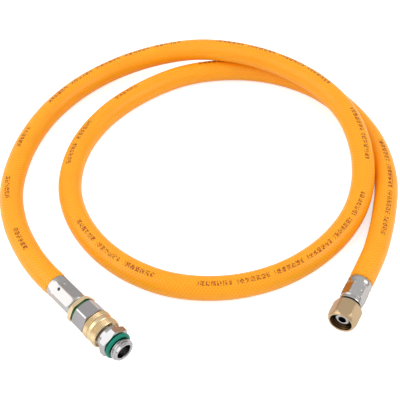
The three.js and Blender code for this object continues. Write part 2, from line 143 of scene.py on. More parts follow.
def smooth_line(points, per_span=24):
    """Points along the centripetal spline through the given points."""
    chain = [2 * points[0] - points[1], *points, 2 * points[-1] - points[-2]]
    line = [points[0]]
    for before, start, stop, after in zip(chain, chain[1:], chain[2:], chain[3:]):
        d0, d1, d2 = (
            math.sqrt((b - a).length) for a, b in ((before, start), (start, stop), (stop, after))
        )
        leave = (start - before) / d0 - (stop - before) / (d0 + d1) + (stop - start) / d1
        arrive = (stop - start) / d1 - (after - start) / (d1 + d2) + (after - stop) / d2
        span = geometry.interpolate_bezier(
            start, start + leave * d1 / 3, stop - arrive * d1 / 3, stop, per_span + 1
        )
        line += span[1:]
    return line


def evenly_spaced(line, step):
    """The same line with its points about one step apart, and its length."""
    total = sum((b - a).length for a, b in zip(line, line[1:]))
    count = round(total / step)
    spaced, walked, i = [line[0]], 0.0, 0
    for k in range(1, count):
        place = k * total / count
        while walked + (line[i + 1] - line[i]).length < place:
            walked += (line[i + 1] - line[i]).length
            i += 1
        spaced.append(line[i].lerp(line[i + 1], (place - walked) / (line[i + 1] - line[i]).length))
    return [*spaced, line[-1]], total


RING_STEP = 2.0
free_line = smooth_line([Vector(point) for point in ROUTE])
centres, free_length = evenly_spaced(free_line, RING_STEP)
print("the free hose is", round(free_length), "mm long")

# %% [markdown]
# ## The hose
#
# The real hose is drawn through a round die, so its skin is one circle carried along the route.
# Here it starts as a flat strip as long as the hose and as wide as its girth, which is then rolled
# round the route like a sleeve and welded along its seam. The strip's own flat coordinates, in
# millimetres, stay on it as a UV map, so the braid and the brown marks keep their size wherever
# the hose bends. The middle of the strip lies on top of the hose, so the hose isn't twisted and
# the marks stay on the outer shoulder of the loops. At both ends the wall is narrower where a
# ferrule squeezes it on to the fitting.

# %% Roll a strip into a tube
UP = Vector((0, 0, 1))
UV_NAME = "hose_mm"


def ring_frame(centre, along):
    """Where a ring stands: its X is the outer side of the loops, its Y is up, its Z is along."""
    outward = UP.cross(along).normalized()
    turned = Matrix((outward, along.cross(outward), along)).transposed().to_4x4()
    return Matrix.Translation(centre) @ turned


def rolled_tube(bm, line, radii, sides):
    """Rolls a flat grid round the line. Its UV map holds the distance along and the way round."""
    ways = [(b - a).normalized() for a, b in zip(line, line[1:])]
    ways = [ways[0]] + [(a + b).normalized() for a, b in zip(ways, ways[1:])] + [ways[-1]]
    frames = [ring_frame(centre, way) for centre, way in zip(line, ways)]
    distances = [0.0]
    for a, b in zip(line, line[1:]):
        distances.append(distances[-1] + (b - a).length)
    last = len(line) - 1
    grid = bmesh.ops.create_grid(bm, x_segments=last, y_segments=sides, size=1)["verts"]
    uv_map = bm.loops.layers.uv.get(UV_NAME) or bm.loops.layers.uv.new(UV_NAME)
    for vert in grid:
        ring = round((vert.co.x + 1) / 2 * last)
        turn = math.pi * vert.co.y  # 0 on top of the hose, positive towards the outer side
        for loop in vert.link_loops:
            loop[uv_map].uv = (distances[ring], turn * max(radii))
        radius = radii[ring]
        vert.co = frames[ring] @ Vector((radius * math.sin(turn), radius * math.cos(turn), 0))
    bmesh.ops.remove_doubles(bm, verts=grid, dist=0.001)
    return distances[-1]


def open_rims(bm, near, reach):
    """The edges of open rims within reach of a point."""
    return [e for e in bm.edges if e.is_boundary and (e.verts[0].co - near).length < reach]


print("the strip is", round(math.pi * HOSE_DIAMETER, 1), "mm wide before it is rolled")


# %% The hose's two ends
HOSE_BORE = 8.5
CRIMPED_DIAMETER = 12.2
PLUG_GRIP = 16.8  # how far the hose reaches into the plug fitting's ferrule
NUT_GRIP = 11.2
FERRULE_GAP = 0.3
NECK_LENGTH = 0.5  # where the hose narrows in front of the ferrule
NECK_FLARE = 0.7
SHOULDER_DROP = 0.25
HOSE_SIDES = 36
BORE_SIDES = 16


def squeezed_end(end, inner, grip):
    """Ring centres past the end of the route, from deep in the ferrule outwards, and radii."""
    into = (end - inner).normalized()
    beyond = [FERRULE_GAP + grip, FERRULE_GAP + NECK_LENGTH, FERRULE_GAP]
    crimped = CRIMPED_DIAMETER / 2
    return [end + into * d for d in beyond], [crimped, crimped, crimped + NECK_FLARE]


plug_end, plug_radii = squeezed_end(centres[0], centres[1], PLUG_GRIP)
nut_end, nut_radii = squeezed_end(centres[-1], centres[-2], NUT_GRIP)
shoulder = HOSE_DIAMETER / 2 - SHOULDER_DROP
free_radii = [shoulder] + [HOSE_DIAMETER / 2] * (len(centres) - 2) + [shoulder]
hose_line = plug_end + centres + nut_end[::-1]
hose_radii = plug_radii + free_radii + nut_radii[::-1]

hose_bm = bmesh.new()
hose_length = rolled_tube(hose_bm, hose_line, hose_radii, HOSE_SIDES)
rolled_tube(hose_bm, hose_line, [HOSE_BORE / 2] * len(hose_line), BORE_SIDES)
for end in (hose_line[0], hose_line[-1]):
    bmesh.ops.bridge_loops(hose_bm, edges=open_rims(hose_bm, end, HOSE_DIAMETER / 2))
bmesh.ops.recalc_face_normals(hose_bm, faces=hose_bm.faces)
print("the hose is", round(hose_length), "mm long")


# %% Make the hose's object
SMOOTH_UP_TO = math.radians(38)  # sharper edges than this keep a crease


def new_object(name, bm, place=None):
    """Makes an object at the origin, in metres, from a mesh in millimetres and its place."""
    mesh = bpy.data.meshes.new(name)
    bm.to_mesh(mesh)
    bm.free()
    if place:
        keep_own_place(mesh)
    mesh.transform(Matrix.Scale(MM, 4) @ (place or Matrix()))
    mesh.shade_smooth()
    mesh.set_sharp_from_angle(angle=SMOOTH_UP_TO)
    made = bpy.data.objects.new(name, mesh)
    bpy.context.scene.collection.objects.link(made)
    print(name, "has", len(mesh.polygons), "faces")
    return made


def keep_own_place(mesh):
    """Stores where each point lies in its fitting's own frame, for patterns that follow it."""
    own = mesh.attributes.new("own_place", "FLOAT_VECTOR", "POINT")
    for vertex, item in zip(mesh.vertices, own.data):
        item.vector = vertex.co


hose = new_object("amber_hose", hose_bm)

# %% [markdown]
# ## Where the fittings stand
#
# Both fittings are turned parts, so each is modelled upright in a frame of its own, in
# millimetres: the axis runs along +Y away from the hose, +Z is up, and station 0 is the mouth of
# the ferrule. A matrix then carries every piece of that fitting to its place. The matrix comes
# from the part itself: the joint gives the axis, and the ferrule's lowest station gives the
# origin.

# %% Frames of the two fittings
def fitting_place(joint_name, ferrule_node):
    """The matrix, in millimetres, from a fitting's own frame to the part's frame."""
    joint = next(j for j in frame["joints"] if j["name"] == joint_name)
    way = Vector(joint["axis"]).normalized()
    on_axis = Vector(joint["pos_m"]) / MM
    stations = [(v.co / MM - on_axis).dot(way) for v in frame["nodes"][ferrule_node].data.vertices]
    mouth = on_axis + way * min(stations)
    turned = Matrix((way.cross(UP), way, UP)).transposed().to_4x4()
    print(ferrule_node, "starts at", [round(c, 1) for c in mouth], "and is", end=" ")
    print(round(max(stations) - min(stations), 1), "mm long")
    return Matrix.Translation(mouth) @ turned


PLUG_PLACE = fitting_place("plug_swivel", "plug_ferrule")
NUT_PLACE = fitting_place("nut_spin", "nut_ferrule")

# %% [markdown]
# ## Turning and milling
#
# A lathe makes most of these pieces, so most start as half a section: points of diameter and
# station. The corners of the section are rounded while it is still a wire, which breaks the sharp
# edges as a finishing cut does, and then the wire is spun once round the axis. A hexagon is milled
# from the round blank: six cuts with a plane, each healed with one flat face.

# %% Lathe and mill
ROUND_SIDES = 96
TOUCHING = 0.0005  # points nearer than this are one
SHARP_CORNER = math.radians(40)


def round_off(bm, corners, offset, affect):
    """Rounds vertices or edges with two small steps."""
    bmesh.ops.bevel(
        bm,
        geom=corners,
        offset=offset,
        segments=2,
        profile=0.5,
        affect=affect,
        clamp_overlap=True,
        material=-1,
    )


def turned(section, rounding=0.1, sides=ROUND_SIDES):
    """A solid of revolution about Y from a closed section of (diameter, station) points."""
    bm = bmesh.new()
    points = [bm.verts.new((0, station, diameter / 2)) for diameter, station in section]
    for a, b in zip(points, points[1:] + points[:1]):
        bm.edges.new((a, b))
    round_off(bm, points, rounding, "VERTICES")
    spin_round(bm, sides)
    return bm


def spin_round(bm, sides=ROUND_SIDES):
    """Spins a section once round the Y axis and closes its poles."""
    bmesh.ops.spin(
        bm,
        geom=bm.verts[:] + bm.edges[:],
        cent=(0, 0, 0),
        axis=(0, 1, 0),
        angle=2 * math.pi,
        steps=sides,
        use_merge=True,
    )
    bmesh.ops.remove_doubles(bm, verts=bm.verts, dist=TOUCHING)
    bmesh.ops.recalc_face_normals(bm, faces=bm.faces)


def mill_hexagon(bm, across_flats, first_corner, edge_break=0.0):
    """Cuts six flats round the Y axis. The first corner is turned from +Z towards +X."""
    for k in range(6):
        angle = math.radians(first_corner + 30 + 60 * k)
        normal = Vector((math.sin(angle), 0, math.cos(angle)))
        everything = bm.verts[:] + bm.edges[:] + bm.faces[:]
        cut = bmesh.ops.bisect_plane(
            bm,
            geom=everything,
            dist=TOUCHING,
            plane_co=normal * across_flats / 2,
            plane_no=normal,
            clear_outer=True,
        )["geom_cut"]
        cut_edges = [e for e in cut if isinstance(e, bmesh.types.BMEdge)]
        bmesh.ops.holes_fill(bm, edges=cut_edges)
    if edge_break:
        round_off(bm, [e for e in bm.edges if is_corner_edge(e)], edge_break, "EDGES")
    bmesh.ops.recalc_face_normals(bm, faces=bm.faces)


def is_corner_edge(edge):
    """Whether an edge is a hexagon's sharp corner, which runs along the axis between two flats."""
    a, b = (v.co for v in edge.verts)
    straight = abs(a.x - b.x) < 0.01 and abs(a.z - b.z) < 0.01 and abs(a.y - b.y) > 1
    return straight and len(edge.link_faces) == 2 and edge.calc_face_angle() > SHARP_CORNER


def joined(first, second):
    """One mesh that holds the bodies of two."""
    spare = bpy.data.meshes.new("spare")
    second.to_mesh(spare)
    second.free()
    first.from_mesh(spare)
    bpy.data.meshes.remove(spare)
    return first


print("a turned piece has", ROUND_SIDES, "sides")


# %% [markdown]
# ## The ferrules
#
# A ferrule is a turned cup of nickel-plated steel. Once the hose is on its barbs, a ring of dies
# closes on the cup and presses flat panels into its barrel. A panel starts shallow and narrow at
# the mouth, gets deeper and wider, and stops short of the front with round corners. So the ferrule
# starts as a finely divided turned shell, and every point that a die would meet is pushed back to
# the die's face, just as the press does it. Between two dies the squeezed metal is raised to a
# narrow ridge. Small round marks show where the dies' centring pins have stood.

# %% Shells, dies and punch
BARREL_DIAMETER = 14.6
BARREL_BORE = 12.3
SHOULDER_BORE = 10.9
RIM_LENGTH = 2.6
DIE_DEPTH = 0.88
DIE_RAMP = 0.5
DIE_CORNER = 1.4
CLEAR_OF_SHELL = 0.4  # where a die ends, it stands this far off the barrel
RIDGE_LIFT = 0.35
RIDGE_WIDTH = math.radians(5)
FINE_STEP = 0.28  # between rings of points on the barrel
SHELL_SIDES = 176
OUTSIDE_FROM = BARREL_BORE / 2 + 0.1  # points nearer to the axis belong to the bore


def ferrule_shell(mouth, barrel_from, barrel_to, front, rim_bore):
    """A turned cup with a finely divided barrel between its mouth and its front."""
    count = round((barrel_to - barrel_from) / FINE_STEP)
    stations = [barrel_from + (barrel_to - barrel_from) * k / count for k in range(count + 1)]
    barrel = [(BARREL_DIAMETER, station) for station in stations]
    end = front[-1][1]
    rim = end - RIM_LENGTH
    inside = [(rim_bore, end), (rim_bore, rim), (SHOULDER_BORE, rim)]
    inside += [(BARREL_BORE, rim - 1), (BARREL_BORE, mouth[0][1])]
    return turned(mouth + barrel + front + inside, sides=SHELL_SIDES)


def press_dies(bm, dies, first_die, start, lead, start_depth, end):
    """Pushes the shell back to the faces of a ring of dies, turned from +Z towards +X."""
    barrel = BARREL_DIAMETER / 2
    half_width = math.sqrt(barrel**2 - (barrel - DIE_DEPTH) ** 2)
    half_slice = math.pi / dies
    for vert in bm.verts:
        angle = math.atan2(vert.co.x, vert.co.z) - math.radians(first_die)
        angle = (angle + half_slice) % (2 * half_slice) - half_slice
        radius = math.hypot(vert.co.x, vert.co.z)
        if radius < OUTSIDE_FROM:
            continue
        height, side = radius * math.cos(angle), radius * math.sin(abs(angle))
        beyond = max(0, side - half_width + DIE_CORNER)
        setback = DIE_CORNER - math.sqrt(max(0, DIE_CORNER**2 - beyond**2))
        ramp = min(1, max(0, (end - setback - vert.co.y) / DIE_RAMP))
        sunk = min(1, max(0, (vert.co.y - start) / lead))
        sunk = sunk * sunk * (3 - 2 * sunk)
        depth = start_depth + (DIE_DEPTH - start_depth) * sunk
        face = barrel + CLEAR_OF_SHELL - ramp * (depth + CLEAR_OF_SHELL)
        raised = max(0, (abs(angle) - half_slice + RIDGE_WIDTH) / RIDGE_WIDTH)
        new_height = min(height, face) + RIDGE_LIFT * raised**2 * sunk * ramp
        turn = math.atan2(vert.co.x, vert.co.z) - angle
        vert.co.x += math.sin(turn) * (new_height - height)
        vert.co.z += math.cos(turn) * (new_height - height)


def on_panel(station, angle):
    """A spot on a pressed panel, and the way out from the axis there."""
    turn = math.radians(angle)
    out = Vector((math.sin(turn), 0, math.cos(turn)))
    return out * (BARREL_DIAMETER / 2 - DIE_DEPTH) + Vector((0, station, 0)), out


def punch(bm, station, angle, width, depth):
    """Sinks a small round mark into the shell."""
    spot, out = on_panel(station, angle)
    for vert in bm.verts:
        away_from_spot = (vert.co - spot).length / width
        if away_from_spot < 1 and vert.co.dot(out) > OUTSIDE_FROM:
            vert.co -= out * depth * (1 - away_from_spot**2) ** 2


# %% Plug ferrule
PUNCH_STATION = 7.4
PUNCH_ANGLES = (26, -14)
plug_mouth = [(14, 0), (14.7, 0.5)]
plug_shell = ferrule_shell(plug_mouth, 1.2, 20.4, [(13.8, 21.1)], rim_bore=9.4)
press_dies(plug_shell, dies=6, first_die=38, start=0, lead=6.5, start_depth=0.3, end=20)
for angle in PUNCH_ANGLES:
    punch(plug_shell, PUNCH_STATION, angle, width=1.2, depth=0.9)
plug_ferrule = new_object("pressed_plug_ferrule", plug_shell, PLUG_PLACE)

# %% Nut ferrule
nut_mouth = [(12.9, 0.7), (14.2, 0.9), (14.9, 1.5), (15.1, 2.6), (15, 3.4)]
nut_front = [(13.3, 16.4), (13.3, 16.7), (14.1, 17.3), (14.1, 18.6)]
nut_shell = ferrule_shell(nut_mouth, 4.4, 15.9, nut_front, rim_bore=10.7)
press_dies(nut_shell, dies=6, first_die=-11, start=4.6, lead=2.4, start_depth=-0.4, end=15.8)
punch(nut_shell, station=10.6, angle=-38, width=1.4, depth=0.5)
nut_ferrule = new_object("pressed_nut_ferrule", nut_shell, NUT_PLACE)

# %% [markdown]
# ## The barbed tails and the adaptor
#
# Both fittings grip the hose from inside with the same tail: three barbs like the ridges of a
# nail, a collar that the hose stops at, and a groove that the ferrule's rim is pressed into. The
# plug fitting's adaptor carries on with a brass hexagon, coned at the back, and a screwed stub. A
# passage for the water runs through the whole of it. One section holds all of that, so one spin
# makes it.

# %% Barbed tail and adaptor
PASSAGE = 4.8
TIP, TIP_DIAMETER = 2, 6.2
TAIL_DIAMETER = 7
BARB_DIAMETER = 7.9
COLLAR_DIAMETER = 10.2
GROOVE_DIAMETER = 8.8
ACROSS_FLATS = 17
CORNER = ACROSS_FLATS / math.cos(math.radians(30))


def barbed_tail(grip):
    """The tail's outside, from its tip to the front of the groove for the ferrule's rim."""
    pitch = (grip - TIP) / 3
    section = [(PASSAGE, TIP), (TIP_DIAMETER, TIP)]
    for k in range(3):
        start = TIP + k * pitch
        section += [(TAIL_DIAMETER, start)] if k else []
        section += [(BARB_DIAMETER, start + 0.7 * pitch), (TAIL_DIAMETER, start + 0.75 * pitch)]
    collar, groove = grip + 0.6, grip + 1.4
    section += [(TAIL_DIAMETER, collar), (COLLAR_DIAMETER, collar)]
    return section + [(COLLAR_DIAMETER, groove), (GROOVE_DIAMETER, groove)]


adaptor_section = barbed_tail(PLUG_GRIP) + [
    (GROOVE_DIAMETER, 21.4),
    (13.8, 21.4),
    (CORNER, 23.2),
    (CORNER, 24.8),
    (CORNER - 1.6, 25.3),
    (9.4, 25.3),
    (9.4, 31.9),
    (8.4, 32.5),
    (PASSAGE, 32.5),
]
adaptor_bm = turned(adaptor_section)
mill_hexagon(adaptor_bm, ACROSS_FLATS, first_corner=35, edge_break=0.15)
adaptor = new_object("milled_adaptor", adaptor_bm, PLUG_PLACE)

gasket_section = [(10, 25.6), (16.4, 25.6), (16.4, 26.4), (10, 26.4)]
gasket = new_object("flat_gasket", turned(gasket_section), PLUG_PLACE)

# %% [markdown]
# ## The swivel's body
#
# The grey hexagon is cut from drawn bar, whose corners have been turned down a little, so that
# each corner is a narrow bright strip, made brighter still by a painted highlight. Its face
# towards the hose is chamfered. In front it carries a spigot that the sleeve is screwed on to,
# and the bore that the plug's tail turns in.

# %% Swivel body
BODY_CORNERS = 19.3
body_section = [
    (10, 26.7),
    (16.8, 26.7),
    (BODY_CORNERS, 27.35),
    (BODY_CORNERS, 35.9),
    (16.4, 36.8),
    (14, 36.8),
    (14, 40.9),
    (13, 41.4),
    (11.2, 41.4),
    (11.2, 36.1),
    (PASSAGE, 36.1),
    (PASSAGE, 32.8),
    (10, 32.8),
]
body_bm = turned(body_section)
mill_hexagon(body_bm, ACROSS_FLATS, first_corner=30)
swivel_body = new_object("milled_swivel_body", body_bm, PLUG_PLACE)

# %% [markdown]
# ## The knurled sleeve
#
# The sleeve is tightened by hand, so both its rings are knurled: a pair of wheels has pressed
# small pyramids into them. The rings start as plain turned bands that are divided into small
# squares, and each square is raised to a point with the poke operator. Between them lies a plain
# band that falls away to a notch, and the front face is recessed round the plug's collar.

# %% Knurled sleeve
KNURL_SIDES = 54
KNURL_DIAMETER = 18.3  # at the foot of the pyramids
KNURL_ROW = 0.97
PYRAMID_HEIGHT = 0.38
RING_STARTS = (37.6, 44.4)
RING_WIDTH = 3.0
OUTSIDE_OF_SLEEVE = 9.0  # faces nearer to the axis lie in its bore or its notch


def roll_pyramids(bm, start):
    """Raises each face of a ring to a point, and says how many there are."""
    band = []
    for face in bm.faces:
        middle = face.calc_center_median()
        outside = math.hypot(middle.x, middle.z) > OUTSIDE_OF_SLEEVE
        if outside and start < middle.y < start + RING_WIDTH:
            band.append(face)
    bmesh.ops.poke(bm, faces=band, offset=PYRAMID_HEIGHT)
    return len(band)


rear_ring, front_ring = (
    [(KNURL_DIAMETER, start + KNURL_ROW * k) for k in range(4)] for start in RING_STARTS
)
sleeve_section = [
    (14.6, 37.1),
    (17.6, 37.1),
    *rear_ring,
    (17.5, 40.75),
    (18.5, 41.1),
    (18.2, 43),
    (16.6, 43.9),
    *front_ring,
    (17.7, 47.8),
    (17, 47.8),
    (17, 46.4),
    (11.6, 46.4),
    (11.6, 45.4),
    (14.6, 45.4),
]
sleeve_bm = turned(sleeve_section, rounding=0.06, sides=KNURL_SIDES)
pyramids = [roll_pyramids(sleeve_bm, start) for start in RING_STARTS]
sleeve = new_object("knurled_brass_sleeve", sleeve_bm, PLUG_PLACE)
print("its rings have", pyramids, "pyramids")

# %% [markdown]
# ## Threads
#
# A thread is one tooth carried round and forwards at the same time. The spin operator does both
# when it is given a step along the axis as well as a turn. The end of a screw is chamfered after
# it is cut, which fades the first turn out, so the finished helix is trimmed by the same cone.

# %% Thread cutter
PITCH = 1.5
TOOTH = (0, 0.55, 0.75, 1.3)  # where its flanks and its crest start and end
STEPS_A_TURN = 60


def helical_tooth(root, crest, start, turns):
    """A ridge of one tooth's section that winds along Y. Root and crest are diameters."""
    bm = bmesh.new()
    tooth = zip((root, crest, crest, root), TOOTH)
    face = bm.faces.new([bm.verts.new((0, start + y, size / 2)) for size, y in tooth])
    bmesh.ops.spin(
        bm,
        geom=[face, *face.verts, *face.edges],
        cent=(0, 0, 0),
        axis=(0, 1, 0),
        dvec=(0, PITCH / STEPS_A_TURN, 0),
        angle=2 * math.pi * turns,
        steps=round(STEPS_A_TURN * turns),
        use_merge=False,
    )
    bmesh.ops.recalc_face_normals(bm, faces=bm.faces)
    return bm


def trim_to_cone(bm, start, radius):
    """Turns down whatever stands above a cone of 45 degrees that starts at a station."""
    for vert in bm.verts:
        limit = radius - max(0, vert.co.y - start)
        size = math.hypot(vert.co.x, vert.co.z)
        if size > limit:
            vert.co.x *= limit / size
            vert.co.z *= limit / size


print("both threads have a pitch of", PITCH, "mm")


# %% [markdown]
# ## The swivel plug
#
# The plug turns in the body: its tail has a groove for the rubber ring and one for the snap ring
# that keeps it in. In front of the hexagon come a narrow relief with the teal O-ring, the short
# thread and the open socket. A round collar behind the hexagon covers the sleeve's recess.

# %% Swivel plug
PLUG_THREAD = 14
plug_section = [
    (PASSAGE, 36.4),
    (9.8, 36.4),
    (10.6, 36.8),
    (10.6, 37.8),
    (7.2, 37.8),
    (7.2, 41.1),
    (10.6, 41.1),
    (10.6, 41.9),
    (8.6, 41.9),
    (8.6, 43.8),
    (11, 43.8),
    (11, 46.9),
    (13.4, 47.6),
    (15, 48.9),
    (15, 51.4),
    (16.2, 51.4),
    (CORNER, 52.1),
    (CORNER, 55.5),
    (16.2, 56.3),
    (11.8, 56.3),
    (11.8, 59.2),
    (12.2, 59.4),
    (12.2, 63.6),
    (10.1, 63.6),
    (9.3, 63.2),
    (9.3, 50.6),
    (PASSAGE, 49.1),
]
plug_bm = turned(plug_section)
mill_hexagon(plug_bm, ACROSS_FLATS, first_corner=-3, edge_break=0.2)
plug_thread = helical_tooth(root=12.1, crest=PLUG_THREAD, start=59.2, turns=2)
trim_to_cone(plug_thread, start=62.7, radius=PLUG_THREAD / 2)
plug = new_object("threaded_swivel_plug", joined(plug_bm, plug_thread), PLUG_PLACE)

# %% [markdown]
# ## The O-rings
#
# An O-ring is moulded as one round cord without an end. A circle that stands upright beside the
# axis and is spun once round it gives exactly that. The teal ring seals the plug against the face
# of its port, and the green one lies in the groove of the nipple's cone.


# %% Rubber rings
def rubber_ring(middle, section, station):
    """An O-ring from the diameter of its middle line and that of its section."""
    bm = bmesh.new()
    stand = Matrix.Translation((0, station, middle / 2)) @ Matrix.Rotation(math.pi / 2, 4, "Y")
    bmesh.ops.create_circle(bm, segments=28, radius=section / 2, matrix=stand)
    spin_round(bm)
    return bm


teal_ring_bm = rubber_ring(middle=14.8, section=2.4, station=57.8)
plug_ring = new_object("teal_plug_ring", teal_ring_bm, PLUG_PLACE)
green_ring_bm = rubber_ring(middle=9.9, section=1.8, station=27.9)
cone_ring = new_object("green_cone_ring", green_ring_bm, NUT_PLACE)

# %% [markdown]
# ## The nipple and its nut
#
# The other end is a nipple with a coned nose, which seals in a coned seat with an O-ring behind
# it. The nut slips over the tail before the hose is crimped on, bears on the nipple's head and
# draws the cone home. Its front is turned to a full round nose, its back to a cone, and its thread
# is cut inside, where the cone shows in its mouth.

# %% Nipple
nipple_section = barbed_tail(NUT_GRIP) + [
    (GROOVE_DIAMETER, 15.8),
    (COLLAR_DIAMETER, 15.8),
    (COLLAR_DIAMETER, 21.2),
    (12.2, 21.2),
    (12.2, 24.2),
    (11.4, 25.4),
    (11, 26.8),
    (7.8, 26.8),
    (7.8, 29),
    (9.3, 29),
    (8, 30.8),
    (PASSAGE, 30.8),
]
nipple_bm = turned(nipple_section, rounding=0.08)
nipple = new_object("turned_nipple", nipple_bm, NUT_PLACE)

# %% Nut
NUT_ACROSS_FLATS = 15.9
NUT_THREAD = 13
nut_section = [
    (10.8, 19.4),
    (13.2, 19.4),
    (17.8, 21.4),
    (17.8, 29.7),
    (17.2, 31.1),
    (16.2, 32.3),
    (15.3, 33),
    (14.8, 33.2),
    (13.5, 33.2),
    (12.9, 32.6),
    (12.9, 20.9),
    (10.8, 20.9),
]
nut_bm = turned(nut_section, rounding=0.15)
mill_hexagon(nut_bm, NUT_ACROSS_FLATS, first_corner=30, edge_break=0.25)
nut_thread = helical_tooth(root=NUT_THREAD, crest=12.3, start=22.4, turns=6.4)
nut = new_object("threaded_swivel_nut", joined(nut_bm, nut_thread), NUT_PLACE)

# %% [markdown]
# ## Materials from node groups
#
# Every finish here is one Principled shader with patterns feeding it. A pattern that several
# finishes share is a node group: it is built once, and each material gives it its own values. The
# groups put out only colours, masks and heights, and each shader stays in its own material. The
# helpers below add a node, or one step of arithmetic, and join it to what feeds it.


# %% Shader helpers
def add_node(tree, kind, feeds=None, **settings):
    """Adds a node. Its feeds are plain values or the sockets of other nodes, by input name."""
    node = tree.nodes.new(kind)
    for name, value in settings.items():
        setattr(node, name, value)
    for name, value in (feeds or {}).items():
        if isinstance(value, bpy.types.NodeSocket):
            tree.links.new(value, node.inputs[name])
        else:
            node.inputs[name].default_value = value
    return node


def maths(tree, operation, *feeds):
    """One step of arithmetic, and the socket that it comes out of."""
    numbered = dict(enumerate(feeds))
    return add_node(tree, "ShaderNodeMath", numbered, operation=operation).outputs[0]


def mix_colours(tree, factor, first, second):
    """Goes from the first colour to the second as the factor goes from 0 to 1."""
    node = add_node(tree, "ShaderNodeMix", {0: factor, 6: first, 7: second}, data_type="RGBA")
    return node.outputs[2]


def new_group(name, inputs, outputs):
    """A shader node group with named float, colour or vector sockets."""
    group = bpy.data.node_groups.new(name, "ShaderNodeTree")
    for label, value in inputs.items():
        kind = "NodeSocketFloat" if isinstance(value, float) else "NodeSocketColor"
        made = group.interface.new_socket(label, in_out="INPUT", socket_type=kind)
        made.default_value = value
    for label, kind in outputs.items():
        group.interface.new_socket(label, in_out="OUTPUT", socket_type=kind)
    return group, group.nodes.new("NodeGroupInput"), group.nodes.new("NodeGroupOutput")


def place_group(tree, group, feeds=None):
    """Puts a group in a material or in another group, and gives back what comes out of it."""
    return add_node(tree, "ShaderNodeGroup", feeds, node_tree=group).outputs


def own_place(tree):
    """The place of each point in its own fitting, in millimetres."""
    return add_node(tree, "ShaderNodeAttribute", attribute_name="own_place").outputs["Vector"]


def parts_of(tree, vector):
    """The X, Y and Z of a vector."""
    return add_node(tree, "ShaderNodeSeparateXYZ", {0: vector}).outputs


def new_material(name, **constants):
    """A material with the constants set on its Principled shader's own sockets."""
    material = bpy.data.materials.new(name)
    material.use_nodes = True
    shader = material.node_tree.nodes["Principled BSDF"]
    for label, value in constants.items():
        shader.inputs[label.replace("_", " ")].default_value = value
    return material, material.node_tree, shader


def finish_with(tree, shader, colour, roughness):
    """Joins a colour and a roughness to the shader."""
    tree.links.new(colour, shader.inputs["Base Color"])
    tree.links.new(roughness, shader.inputs["Roughness"])


# %% [markdown]
# ## Handling marks and machining lines
#
# No part that has been handled is even all over: fingers and rags leave soft blotches that are a
# little duller and darker. Machined metal also keeps the lines of the tool, round the axis where
# it was turned and along it where the bar was drawn through its die. Both kinds of line are noise
# that is stretched, read from the place that each point has in its own fitting. The same place
# tells how far a point is from the axis, so that a bore, where shade is painted, or the corners of
# a hexagon, where a highlight is painted, can be told apart, and how far it is from the round
# punch mark in the plug's ferrule, whose hollow gets a painted shade.

# %% Handling marks
handling, given, result = new_group(
    "handling marks",
    {"Colour": (1, 1, 1, 1), "Roughness": 0.3, "Amount": 0.1, "Size": 90.0},
    {"Colour": "NodeSocketColor", "Roughness": "NodeSocketFloat"},
)
where = add_node(handling, "ShaderNodeTexCoord").outputs["Object"]
blotches = add_node(
    handling,
    "ShaderNodeTexNoise",
    {"Vector": where, "Scale": given.outputs["Size"], "Detail": 3.0, "Roughness": 0.6},
).outputs["Fac"]
uneven = maths(handling, "SUBTRACT", blotches, 0.5)
change = maths(handling, "MULTIPLY", uneven, given.outputs["Amount"])
brighter = maths(handling, "ADD", 1.0, change)
tinted = add_node(
    handling,
    "ShaderNodeVectorMath",
    {0: given.outputs["Colour"], 1: brighter},
    operation="MULTIPLY",
).outputs[0]
duller = maths(handling, "SUBTRACT", given.outputs["Roughness"], change)
handling.links.new(tinted, result.inputs["Colour"])
handling.links.new(duller, result.inputs["Roughness"])
print("the handling marks need", len(handling.nodes), "nodes")

# %% Distance from the axis
from_axis, given, result = new_group(
    "distance from the axis",
    {"Limit": 1.0},
    {"Radius": "NodeSocketFloat", "Inside": "NodeSocketFloat", "Outside": "NodeSocketFloat"},
)
part = parts_of(from_axis, own_place(from_axis))
squares = [maths(from_axis, "MULTIPLY", part[way], part[way]) for way in "XZ"]
radius = maths(from_axis, "SQRT", maths(from_axis, "ADD", *squares))
inside = maths(from_axis, "LESS_THAN", radius, given.outputs["Limit"])
outside = maths(from_axis, "GREATER_THAN", radius, given.outputs["Limit"])
for label, value in {"Radius": radius, "Inside": inside, "Outside": outside}.items():
    from_axis.links.new(value, result.inputs[label])
print("the distance from the axis needs", len(from_axis.nodes), "nodes")

# %% Painted shade in the punch mark
# The hollow of the first punch mark gets a painted shade within this radius of its centre.
PUNCH_SHADE_RADIUS = 0.85
spot = on_panel(PUNCH_STATION, PUNCH_ANGLES[0])[0]
punch_mark, given, result = new_group("painted shade in the punch mark", {}, {"Mask": "NodeSocketFloat"})
ends = {0: own_place(punch_mark), 1: spot}
away = add_node(punch_mark, "ShaderNodeVectorMath", ends, operation="DISTANCE")
in_punch_shade = maths(punch_mark, "LESS_THAN", away.outputs["Value"], PUNCH_SHADE_RADIUS)
punch_mark.links.new(in_punch_shade, result.inputs["Mask"])
# Prints how far the painted shade in the punch mark lies from the axis.
print("the painted shade lies", round(math.hypot(spot.x, spot.z), 2), "mm from the axis")

# %% Tool lines
tool_lines, given, result = new_group(
    "tool lines",
    {"Along": 1.0, "Across": 1.0, "Round": 1.0},
    {"Height": "NodeSocketFloat"},
)
part = parts_of(tool_lines, own_place(tool_lines))
radius = place_group(tool_lines, from_axis)["Radius"]
stretched = add_node(
    tool_lines,
    "ShaderNodeCombineXYZ",
    {
        "X": maths(tool_lines, "MULTIPLY", part["X"], given.outputs["Across"]),
        "Y": maths(tool_lines, "MULTIPLY", part["Y"], given.outputs["Along"]),
        "Z": maths(tool_lines, "MULTIPLY", radius, given.outputs["Round"]),
    },
).outputs[0]
lines = add_node(
    tool_lines,
    "ShaderNodeTexNoise",
    {"Vector": stretched, "Scale": 1.0, "Detail": 2.0, "Roughness": 0.5},
).outputs["Fac"]
tool_lines.links.new(lines, result.inputs["Height"])
print("the tool lines need", len(tool_lines.nodes), "nodes")

